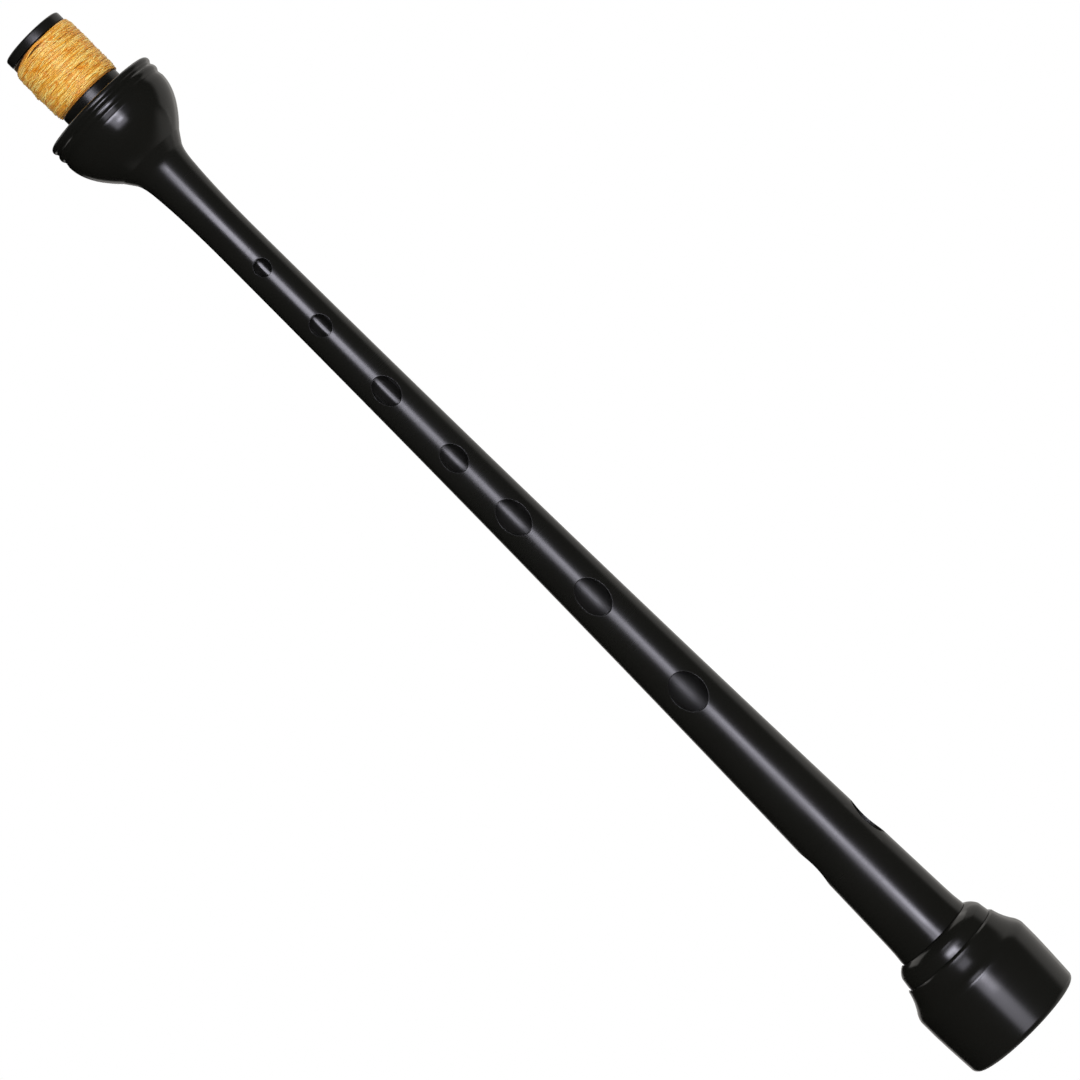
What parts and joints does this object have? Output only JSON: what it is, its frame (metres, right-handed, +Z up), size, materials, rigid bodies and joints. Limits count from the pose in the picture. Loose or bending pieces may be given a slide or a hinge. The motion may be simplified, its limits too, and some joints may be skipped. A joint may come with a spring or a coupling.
{
  "type": "bagpipe chanter",
  "caption": "Pipe chanter: a slim flared pipe with oval finger holes, a beaded bulb under a hemp-wound tenon, and a wide cup-shaped sole on a collar.",
  "frame": {"origin": "centre of the sole's flat foot, on the bore's axis", "axes": "+Z up along the bore towards the tenon and reed seat; the finger holes face -Y and the thumb hole faces +Y; the sound holes face +X and -X, turned 5 degrees round +Z"},
  "size_m": [0.0374, 0.0374, 0.366],
  "materials": {
    "turned_body": "turned black acetal, polished to a soft gloss",
    "turned_sole": "turned black acetal, polished to a soft gloss",
    "waxed_hemp": "golden hemp yarn, lightly waxed"
  },
  "bodies": {
    "root": {"chanter_body": "turned_body", "sole_collar": "turned_sole", "sole_cup": "turned_sole", "hemp_under_layers": "waxed_hemp", "hemp_outer_turns": "waxed_hemp"}
  },
  "joints": []
}
